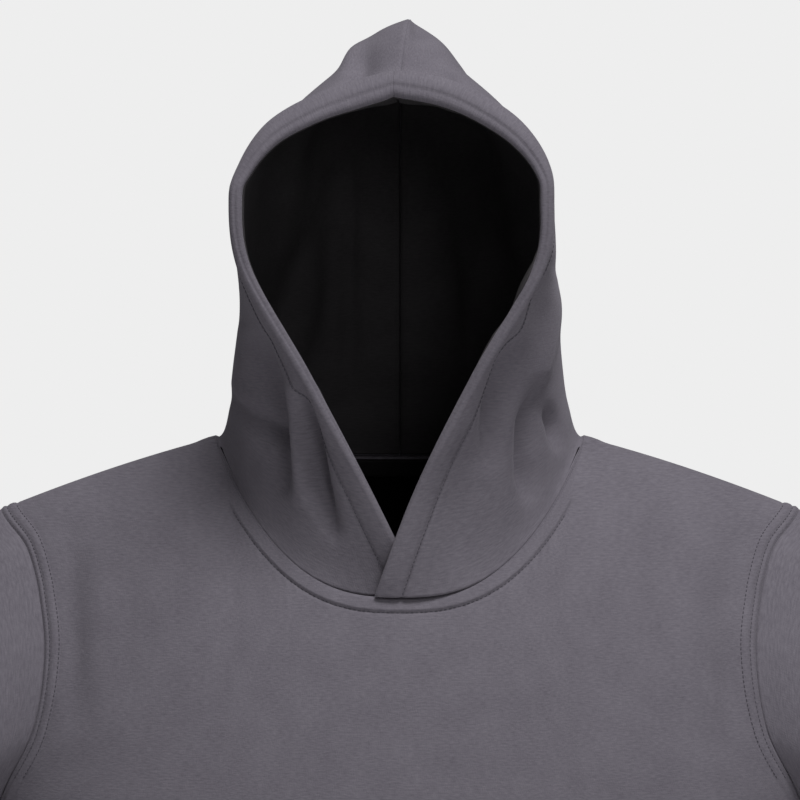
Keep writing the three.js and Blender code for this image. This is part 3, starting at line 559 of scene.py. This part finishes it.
OPENING_STITCHING = 15.0  # distance of the topstitching behind the edge of the face opening
HOOD_ROWS = 230
hood_t = np.concatenate([np.linspace(0, 0.12, 34)[:-1], 0.12 + 0.88 * np.linspace(0, 1, 90)])
hood = {}
for word, side in (("left", 1), ("right", -1)):
    s, t = np.meshgrid(np.linspace(0, 1, HOOD_ROWS), hood_t, indexing="ij")
    grid = hood_surface(s, t, side, word)
    normal = normals_of(grid)
    # Along the seam over the head both sides meet in the hood's middle, so their normals turn into it.
    meet = np.maximum(ramp(0.93, 1, s), ramp(0.95, 1, t))[..., None]
    corner = ramp(0.9, 1, s) * ramp(0.9, 1, t)
    flat = normal * (1 - meet * (1, 0, 0)) + corner[..., None] * (0, 0.6, 2)
    normal = flat / np.linalg.norm(flat, axis=-1, keepdims=True)
    steps = np.linalg.norm(np.diff(grid, axis=1), axis=-1)
    length = np.concatenate([np.zeros((HOOD_ROWS, 1)), np.cumsum(steps, 1)], 1)
    rim = along(RIM_WIDTH, s[:, 0] * (len(RIM_WIDTH) - 1))
    groove = 1.1 * np.exp(-(((length - OPENING_STITCHING) / 1.5) ** 2))
    groove -= 0.7 * np.exp(-(((length - 6) / 5) ** 2)) * ramp(0, 0.03, s)
    seam = 1.2 * (np.exp(-(((1 - t) / 0.012) ** 2)) + np.exp(-(((1 - s) / 0.010) ** 2))) * ramp(0, 0.03, s)
    # Over the head the turned edge stands up like a piping, 10 mm deep, with a light upper face.
    piping = 4.5 * np.exp(-(((length - 8) / 5.5) ** 2)) * ramp(0.45, 0.75, s)
    outer = grid - normal * (groove + seam - piping)[..., None]
    thick = FLEECE + (rim - 1.2 - FLEECE) * ramp(18, 2, length)
    inner = grid - normal * thick[..., None]
    # The rim itself: from the outer face forward over the edge, and inwards by its width to the inner edge.
    forward = grid[:, 0] - grid[:, 3]
    forward /= np.linalg.norm(forward, axis=-1, keepdims=True)
    turn_in = -normal[:, 0]
    roll = np.array([  # forward in mm, and inwards as a share of the rim's width
        (0.9, 0.10), (1.9, 0.24), (2.0, 0.38), (1.5, 0.46), (1.9, 0.56),
        (2.2, 0.70), (1.8, 0.84), (0.8, 0.94), (-0.6, 1.0), (-2.2, 1.0),
    ])
    turned = grid[:, :1] + forward[:, None] * roll[None, :, :1] + (turn_in * rim)[:, None] * roll[None, :, 1:]
    # Inside, the wall runs from the middle seam to 3 mm behind the edge, then out to the rim's inner edge.
    first = np.argmax(length > 3.0, axis=1)[:, None] - 0.5
    place = first + (length.shape[1] - 1 - first) * np.linspace(0, 1, length.shape[1])
    inner = at_columns(inner, place)
    out = np.linspace(0.1, 0.8, len(roll))[None, :, None]
    inner = np.concatenate([inner[:, ::-1], inner[:, :1] * (1 - out) + turned[:, -1:] * out], 1)
    outer = np.concatenate([outer[:, ::-1], turned], 1)
    piece = wall(f"hood_{word}", outer, inner, [fleece])
    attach(piece, "root")
    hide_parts(f"hood_{word}")
    hood[word] = (grid, normal, length, thick, place)

# --------------------------------------------------------------------------------------------------
# Hood lining: thin black cotton jersey, cut as the hood is and sewn in behind the rim. Down the middle of the
# back its seam shows as a narrow ridge, and it hangs in a few long soft folds of its own.
# --------------------------------------------------------------------------------------------------
LINING = 1.4
jersey = knit("black_cotton_jersey", "#434143", "#2e2c2e", 0.0010, 0.30, 0.4, 0.25, 0.95, 0.04, "#4a4a4a")
LINING_FOLDS = {  # path of x and z points, width, depth and sharpness; ridges that stand into the hollow
    "left": [
        ([(64, 150), (58, 90), (50, 20)], 10, -4, 0.2),
        ([(30, 195), (44, 150), (50, 80), (46, 0)], 12, -5, 0.1),
        ([(8, 180), (2, 120), (0, 40)], 9, -2, 0),
    ],
    "right": [
        ([(-36, 175), (-37, 110), (-35, 40), (-32, -10)], 7, -7, 0.25),
        ([(-70, 140), (-66, 80), (-56, 20)], 12, -4, 0),
        ([(-30, 200), (-60, 170), (-80, 120)], 10, -4, 0.1),
    ],
}
for word, side in (("left", 1), ("right", -1)):
    grid, normal, length, thick, place = hood[word]
    columns = np.linspace(0, 1, 76) * (length.shape[1] - 1 - place[:, :1]) + place[:, :1]
    base, way = at_columns(grid, columns), at_columns(normal, columns)
    deep = at_columns(thick, columns) + 0.5
    s = np.linspace(0, 1, HOOD_ROWS)[:, None]
    far = np.linspace(0, 1, 76)[None]
    waves = sum(fold(base[..., 0], base[..., 2], *f) for f in LINING_FOLDS[word]) * ramp(0.1, 0.4, far)
    seam = 0.8 * np.exp(-(((1 - far) / 0.03) ** 2)) * np.ones_like(s)
    deep = deep + (1.2 - waves + seam) * ramp(0, 0.06, far) * ramp(0, 0.04, np.minimum(s, 1 - s))
    sheet = base - way * deep[..., None]
    near_middle = hood_middle(s, far) + side * 0.3
    seam_side = (far > 0.4) | (s > 0.6)
    on_own_side = side * np.maximum(side * sheet[..., 0], side * near_middle)
    sheet[..., 0] = np.where(seam_side, on_own_side, sheet[..., 0])
    lining = wall(f"hood_lining_{word}", sheet, sheet - way * LINING, [jersey])
    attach(lining, "root")
    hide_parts(f"hood_lining_{word}")

# --------------------------------------------------------------------------------------------------
# Neck tape: a black twill tape 11 mm wide, stitched over the neck seam inside the back of the neck.
# --------------------------------------------------------------------------------------------------
twill = knit("black_cotton_twill_tape", "#2a282a", "#1b1a1b", 0.0012, 0.30, 0.3, 0.4, 0.9, 0.03, "#404040")
x, down = np.meshgrid(np.linspace(-104, 104, 90), np.linspace(11.5, 0.5, 8))
z = neck_z(x, BACK) - down
tape = np.stack([x, body_y(x, z, BACK), z], -1)
normal = normals_of(tape)
normal *= np.sign((normal * (0, 1, 0)).sum())
neck_tape = wall("neck_tape", tape - normal * 3.2, tape - normal * 4.2, [twill])
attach(neck_tape, "root")
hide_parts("neck_tape")

# --------------------------------------------------------------------------------------------------
# Topstitching: lockstitch in charcoal polyester thread 0.5 mm thick, 3 mm to the stitch, on the body beside
# the neck and armhole seams and round the face opening. Each stitch is a short bent bar, sunk at its ends.
# --------------------------------------------------------------------------------------------------
STITCH = 3.0
THREAD = 0.55
thread = knit("charcoal_polyester_thread", "#57545b", "#3f3c43", 0.0006, 0.30, 0.2, 0.2, 0.7, 0.1, "#b9b4bd")


def line_inside(grid, normal, away, distance):
    """For each column, the point and normal where the rows first come to a distance away from an edge."""
    k = np.maximum(np.argmax(away > distance, axis=0), 1)
    c = np.arange(grid.shape[1])
    f = ((distance - away[k - 1, c]) / (away[k, c] - away[k - 1, c]))[:, None]
    return grid[k - 1, c] * (1 - f) + grid[k, c] * f, normal[k, c]


def read_along(values, length, where):
    """Points or normals read at distances along a line."""
    return np.stack([np.interp(where, length, values[:, m]) for m in range(3)], -1)


def stitches(name, rows):
    """Bars along lines of points: each has four sections of four corners, high in the middle and sunk at both
    ends, set along the line, across it and out from the cloth."""
    sections = [(-0.40, -0.5, 0.3), (-0.22, 0.28, 1), (0.22, 0.28, 1), (0.40, -0.5, 0.3)]
    ahead_by, out_by, swell = np.array(sections).T
    side_by, up_by = np.array([(-1, 0), (0, 1), (1, 0), (0, -1)]).T * THREAD / 2
    points = []
    for line, normal in rows:
        length = np.concatenate([[0], np.cumsum(np.linalg.norm(np.diff(line, axis=0), axis=-1))])
        middle = np.arange(STITCH, length[-1] - STITCH, STITCH)
        centre, out = read_along(line, length, middle), read_along(normal, length, middle)
        ahead = read_along(line, length, middle + 1) - read_along(line, length, middle - 1)
        ahead /= np.linalg.norm(ahead, axis=-1, keepdims=True)
        out /= np.linalg.norm(out, axis=-1, keepdims=True)
        across = np.cross(out, ahead)
        spots = centre[:, None, None] + ahead[:, None, None] * (ahead_by * STITCH)[:, None, None]
        spots = spots + across[:, None, None] * (swell[:, None] * side_by)[..., None]
        spots = spots + out[:, None, None] * (out_by[:, None] * 0.6 + swell[:, None] * up_by)[..., None]
        points.append(spots.reshape(-1, 3))
    points = np.concatenate(points) * MM
    corner = np.arange(4)
    sides = [np.stack([a + corner, a + (corner + 1) % 4, a + 4 + (corner + 1) % 4, a + 4 + corner], -1)
             for a in (0, 4, 8)]
    one = np.concatenate(sides + [[[0, 3, 2, 1], [12, 13, 14, 15]]])
    faces = (one[None] + 16 * np.arange(len(points) // 16)[:, None, None]).reshape(-1, 4)
    mesh = bpy.data.meshes.new(name)
    mesh.from_pydata(points.tolist(), [], faces.tolist())
    mesh.polygons.foreach_set("use_smooth", np.ones(len(faces), bool))
    flat = points[faces.ravel()][:, [0, 2]]
    mesh.uv_layers.new(name="cloth").data.foreach_set("uv", flat.ravel().astype(np.float32))
    mesh.materials.append(thread)
    mesh.update()
    piece = bpy.data.objects.new(name, mesh)
    bpy.context.scene.collection.objects.link(piece)
    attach(piece, "root")
    return piece


for name in ("body_front", "body_back"):
    grid, normal, to_neck, to_arm = body_grids[name]
    at_neck = np.abs(grid[-1, :, 0]) <= NECK_HALF - 1
    rows = [line_inside(grid[::-1, at_neck], normal[::-1, at_neck], to_neck[::-1, at_neck], NECK_STITCHING)]
    upper = body_rows >= 1.12
    for sideways in (1, -1):
        part, out, away = (a[upper, ::sideways][:-2].swapaxes(0, 1) for a in (grid, normal, to_arm))
        rows += [line_inside(part, out, away, line) for line in ARMHOLE_STITCHING]
    stitches("topstitching_" + name, rows)
for word in ("left", "right"):
    # The rows next to the crown are left out: there the turned edge hides the stitching.
    part, out, away = (a[:-40].swapaxes(0, 1) for a in hood[word][:3])
    stitches("topstitching_hood_" + word, [line_inside(part, out, away, OPENING_STITCHING)])

# --------------------------------------------------------------------------------------------------
# Floor and light: a plain pale floor, an even pale studio, and two large soft lights, the stronger one above.
# --------------------------------------------------------------------------------------------------
floor_mesh = bpy.data.meshes.new("floor")
floor_mesh.from_pydata([(-2, -2, -0.72), (2, -2, -0.72), (2, 2, -0.72), (-2, 2, -0.72)], [], [(0, 1, 2, 3)])
floor = bpy.data.objects.new("floor", floor_mesh)
bpy.context.scene.collection.objects.link(floor)
floor_paint = bpy.data.materials.new("matt_white_floor_paint")
floor_paint.use_nodes = True
floor_paint.node_tree.nodes["Principled BSDF"].inputs["Base Color"].default_value = colour("#eeeeee")
floor_paint.node_tree.nodes["Principled BSDF"].inputs["Roughness"].default_value = 0.9
floor_mesh.materials.append(floor_paint)

world = bpy.data.worlds.new("pale_studio")
bpy.context.scene.world = world
world.use_nodes = True
sky = world.node_tree
seen = add_node(sky, "ShaderNodeBackground", {"Color": colour("#eeeeee"), "Strength": 1.0})
glow = add_node(sky, "ShaderNodeBackground", {"Color": colour("#f4f4f6"), "Strength": 0.15})
ray = add_node(sky, "ShaderNodeLightPath")
both = add_node(sky, "ShaderNodeMixShader", {},
                {0: ray.outputs["Is Camera Ray"], 1: glow.outputs[0], 2: seen.outputs[0]})
sky.links.new(both.outputs[0], sky.nodes["World Output"].inputs["Surface"])
bpy.context.scene.view_settings.view_transform = "Standard"

for name, place, aim, size, power in (
    ("soft_light_above", (0.5, -1.35, 2.5), (0, 0, 0), 1.3, 84),
    ("soft_light_front", (0.7, -2.8, 0.5), (0, 0, 0), 0.9, 10),
):
    light = bpy.data.objects.new(name, bpy.data.lights.new(name, "AREA"))
    light.data.shape, light.data.size, light.data.energy = "DISK", size, power
    light.location = place
    towards = np.array(aim) - np.array(place)
    flat = np.hypot(towards[0], towards[1])
    light.rotation_euler = (np.arctan2(flat, -towards[2]), 0, np.arctan2(-towards[0], towards[1]))
    bpy.context.scene.collection.objects.link(light)
